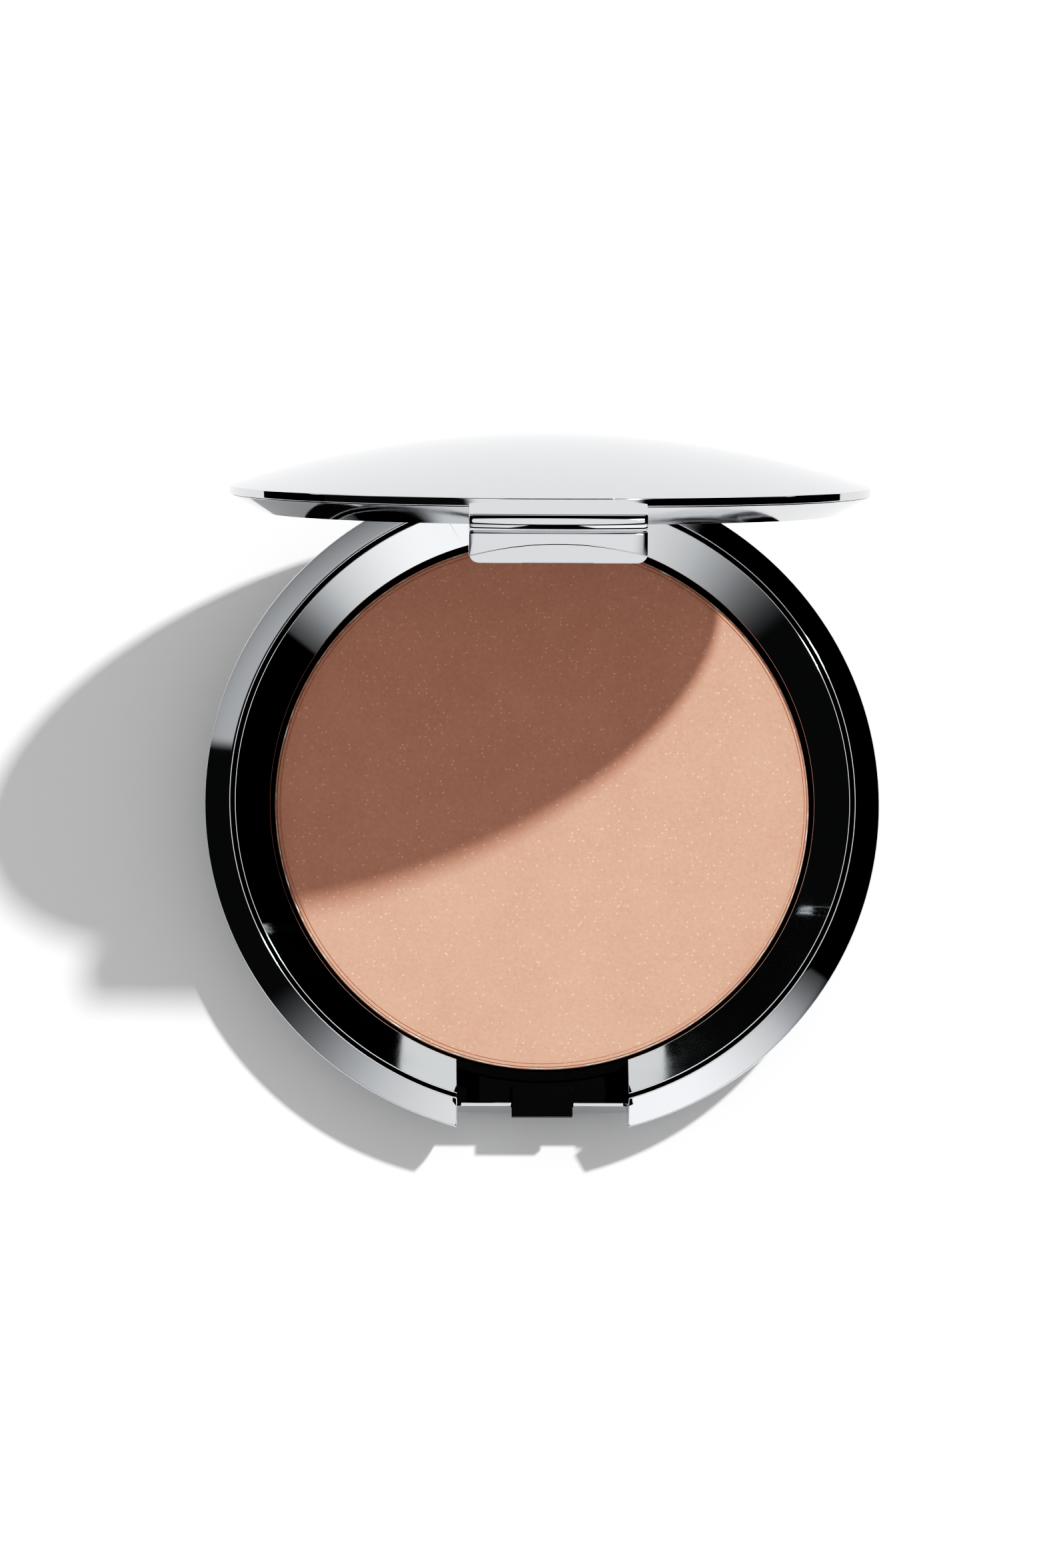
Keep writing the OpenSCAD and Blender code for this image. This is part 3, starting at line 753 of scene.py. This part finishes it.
def model_lid_ring():
    """The ring under the lid: the bevel that nests in the deck and the lip that holds the mirror."""
    seam = 0.06
    inner = MIRROR_R + 0.1
    lip_in = MIRROR_R - 1
    ring = turned("lid_ring_plated", [
        (inner, MIRROR_Z - 0.05), (lip_in, MIRROR_Z - 0.05, 0.08), (lip_in, UNDER_Z, 0.12), (UNDER_R, UNDER_Z, 0.1),
        (LID_R - 0.1, EDGE_Z0 - seam, 0.04), (LID_R - SKIN_T - 0.3, EDGE_Z0 - seam),
        (inner, dome_z(inner, SKIN_T) - 0.08)], ring=True, steps=480)
    cut(ring, block("cutter", (-60, 60), (BAY_Y, 60), (-5, 60)))
    cut(ring, block("cutter", (-TAB_HALF, TAB_HALF), (-60, -WALL_Y - 0.25), (-5, 60)))
    eased(ring, 0.06)
    smooth(ring)
    return opened(ring)


def model_mirror():
    """Round glass with a ground edge."""
    mirror = turned("mirror_silvered", [
        (0, MIRROR_Z), (MIRROR_R - 0.25, MIRROR_Z, 0.04), (MIRROR_R, MIRROR_Z + 0.25, 0.04),
        (MIRROR_R, MIRROR_Z + MIRROR_T, 0.1), (0, MIRROR_Z + MIRROR_T)])
    smooth(mirror, 20)
    return opened(mirror)


def model_clasp_spring():
    """A leaf of spring steel with a rolled rib near its tip."""
    back, leaf, tip = -POCKET_Y, 0.1, TAB_TIP_Z + 0.3
    width = 3.0
    leaf_line = rounded([
        (back, tip), (back + leaf, tip), (back + leaf, tip + 0.1), (back + leaf + 0.05, tip + 0.25, 0.05),
        (back + leaf + 0.05, tip + 0.4, 0.05), (back + leaf, tip + 0.55), (back + leaf, tip + 2.3), (back, tip + 2.3)], 3)
    spring = prism("clasp_spring_rolled", leaf_line, "X", -width, width)
    smooth(spring)
    return opened(spring)


def lid_disc(name, node, inset, low, thick):
    """A disc behind the mirror."""
    return opened(model_disc(name, MIRROR_R - inset, low, low + thick, 0.05))


hand_over(model_lid_shell(), CHROME_CASE, "lid", "lid_shell")
hand_over(model_lid_ring(), CHROME_RING, "lid", "lid_ring")
hand_over(model_mirror(), MIRROR_GLASS, "lid", "mirror")
MIRROR_BACK = MIRROR_Z + MIRROR_T
hand_over(lid_disc("mirror_tape_foam", "mirror_tape", 4.1, MIRROR_BACK, 0.25), FOAM, "lid", "mirror_tape")
hand_over(lid_disc("mirror_backing_card", "mirror_backing", 4.5, MIRROR_BACK + 0.25, 0.7),
          CARD, "lid", "mirror_backing")
hand_over(model_clasp_spring(), SPRING_STEEL, "lid", "clasp_spring")
SLEEVE_END = sleeve_high.x
sleeve = on_hinge("friction_sleeve_moulded", [
    (0.73, -SLEEVE_END), (1.1, -SLEEVE_END, 0.05), (1.1, SLEEVE_END, 0.05), (0.73, SLEEVE_END)], ring=True)
hand_over(sleeve, BEARING, "lid", "friction_sleeve")


# ---------------------------------------------------------------- table, light and camera

def lay_table():
    """A plain pale table top."""
    lay_down_tools()
    bpy.ops.mesh.primitive_plane_add(size=6)
    table = bpy.context.object
    table.name = "table"
    finish, tree, shader, place = new_finish("matt_white_table")
    shader.inputs["Base Color"].default_value = linear("#f0f0f0")
    shader.inputs["Roughness"].default_value = 0.9
    table.data.materials.append(finish)


def lay_black_cloths():
    """A long black cloth on the table at each side, out of view. It is seen only in the chrome, in the lid's dark edge."""
    finish, tree, shader, place = new_finish("black_velvet")
    shader.inputs["Base Color"].default_value = linear("#020202")
    shader.inputs["Roughness"].default_value = 1
    shader.inputs["Specular IOR Level"].default_value = 0
    near, length, width = 0.11, 12, 0.5
    for name, side in (("cloth_left", -1), ("cloth_right", 1)):
        lay_down_tools()
        bpy.ops.mesh.primitive_plane_add(size=length, location=(side * (near + length / 2), 0, 0.0005))
        cloth = bpy.context.object
        cloth.scale.y = width / length
        cloth.name = name
        cloth.data.materials.append(finish)
        cloth.visible_camera = cloth.visible_diffuse = cloth.visible_shadow = False


def hang_light():
    """One small hard-edged lamp from the back right."""
    lay_down_tools()
    bpy.ops.object.light_add(type="SUN")
    lamp = bpy.context.object
    lamp.name = "key_light"
    towards = Vector((0.541, 0.478, 1))
    lamp.rotation_euler = towards.to_track_quat("Z", "Y").to_euler()
    lamp.data.energy = 4.46
    lamp.data.angle = math.radians(2.6)


def build_room():
    """The studio as the chrome sees it: a wide pale screen in front, a pale ceiling, a low glow behind on the left,
    and black on the right. Plain soft light of one strength falls on everything that isn't glossy."""
    world = bpy.data.worlds.new("studio_room")
    bpy.context.scene.world = world
    world.use_nodes = True
    tree = world.node_tree
    tree.nodes.clear()
    direction = add_node(tree, "ShaderNodeTexCoord").outputs["Generated"]
    axes = add_node(tree, "ShaderNodeSeparateXYZ", links=[(direction, "Vector")])
    x, y, z = (axes.outputs[i] for i in range(3))

    def combine(kind, *values):
        made = add_node(tree, "ShaderNodeMath", {"operation": kind})
        for i, value in enumerate(values):
            if isinstance(value, (int, float)):
                made.inputs[i].default_value = value
            else:
                tree.links.new(value, made.inputs[i])
        return made.outputs[0]

    def fade(value, low, high, start=0.0, end=1.0):
        made = add_node(tree, "ShaderNodeMapRange", {"interpolation_type": "SMOOTHSTEP"}, [(value, "Value")],
                        From_Min=low, From_Max=high, To_Min=start, To_Max=end)
        return made.outputs["Result"]

    def turned_to(low, high, start=0.0, end=1.0):
        """Fades between two headings, in degrees: 0 is the right, 90 the back, -90 the front."""
        return fade(heading, math.radians(low), math.radians(high), start, end)

    def raised_to(low, high, start=0.0, end=1.0):
        """Fades between two heights above the horizon, in degrees."""
        return fade(z, math.sin(math.radians(low)), math.sin(math.radians(high)), start, end)

    def product(*values):
        total = values[0]
        for value in values[1:]:
            total = combine("MULTIPLY", total, value)
        return total

    heading = combine("ARCTAN2", y, x)
    screen = product(turned_to(-156, -104), turned_to(-60, -17, 1, 0), turned_to(-24, -22.5, 1, 0),
                     raised_to(13, 18), raised_to(42, 47, 1, 0), turned_to(-125, -60, 1.4, 2.2))
    camera_stand = combine("SUBTRACT", 1, product(turned_to(-102, -100), turned_to(-80, -78, 1, 0)))
    ceiling = raised_to(54, 60, 0, 1.55)
    glow = product(turned_to(62, 70), turned_to(159, 162, 1, 0), raised_to(19, 24, 1, 0), raised_to(0, 16, 0.25, 0.75))
    gloom = fade(x, -0.2, 0.2, 0.035, 0.002)
    light = gloom
    for lamp in (product(screen, camera_stand), ceiling, glow):
        light = combine("MAXIMUM", light, lamp)
    seen = add_node(tree, "ShaderNodeBackground", links=[(light, "Strength")], Color=(0.985, 0.995, 1, 1))
    soft = add_node(tree, "ShaderNodeBackground", Color=(0.63, 0.63, 0.63, 1))
    plain = add_node(tree, "ShaderNodeBackground", Color=(1.6, 1.6, 1.6, 1))
    ray = add_node(tree, "ShaderNodeLightPath")
    room = add_node(tree, "ShaderNodeMixShader",
                    links=[(ray.outputs["Is Glossy Ray"], 0), (soft.outputs[0], 1), (seen.outputs[0], 2)])
    shown = add_node(tree, "ShaderNodeMixShader",
                     links=[(ray.outputs["Is Camera Ray"], 0), (room.outputs[0], 1), (plain.outputs[0], 2)])
    add_node(tree, "ShaderNodeOutputWorld", links=[(shown.outputs[0], "Surface")])


def develop():
    """A photographic print's contrast: gentle highlights that reach white at 1.5, and deepened shadows."""
    view = bpy.context.scene.view_settings
    view.view_transform = "Standard"
    view.use_curve_mapping = True
    tone = view.curve_mapping
    tone.white_level = (1.5, 1.5, 1.5)
    for scene_light, print_light in ((0.025, 0.003), (0.05, 0.016), (0.1, 0.052), (0.2, 0.14), (0.3, 0.245),
                                     (0.45, 0.39), (0.6, 0.53), (1.0, 0.755)):
        tone.curves[3].points.new(scene_light / 1.5, print_light)
    tone.update()


def set_camera():
    """A long lens in front of the compact, 9 degrees off straight down."""
    lay_down_tools()
    aim = Vector((-2.16, 2.29, POWDER_Z)) * MM
    tilt, side, distance = math.radians(9), math.radians(-1.41), 1085 * MM
    back = Vector((math.sin(side), -math.sin(tilt) * math.cos(side), math.cos(tilt) * math.cos(side)))
    eye = Vector((0, 0, POWDER_Z * MM)) + back.normalized() * distance
    behind = (eye - aim).normalized()
    right = Vector((0, 1, 0)).cross(behind).normalized()
    turn = Matrix((right, behind.cross(right), behind)).transposed()
    bpy.ops.object.camera_add(location=eye, rotation=turn.to_euler())
    camera = bpy.context.object
    camera.data.sensor_width = 36
    camera.data.lens = 224.9
    bpy.context.scene.camera = camera


lay_table()
lay_black_cloths()
hang_light()
build_room()
set_camera()
develop()
lay_down_tools()
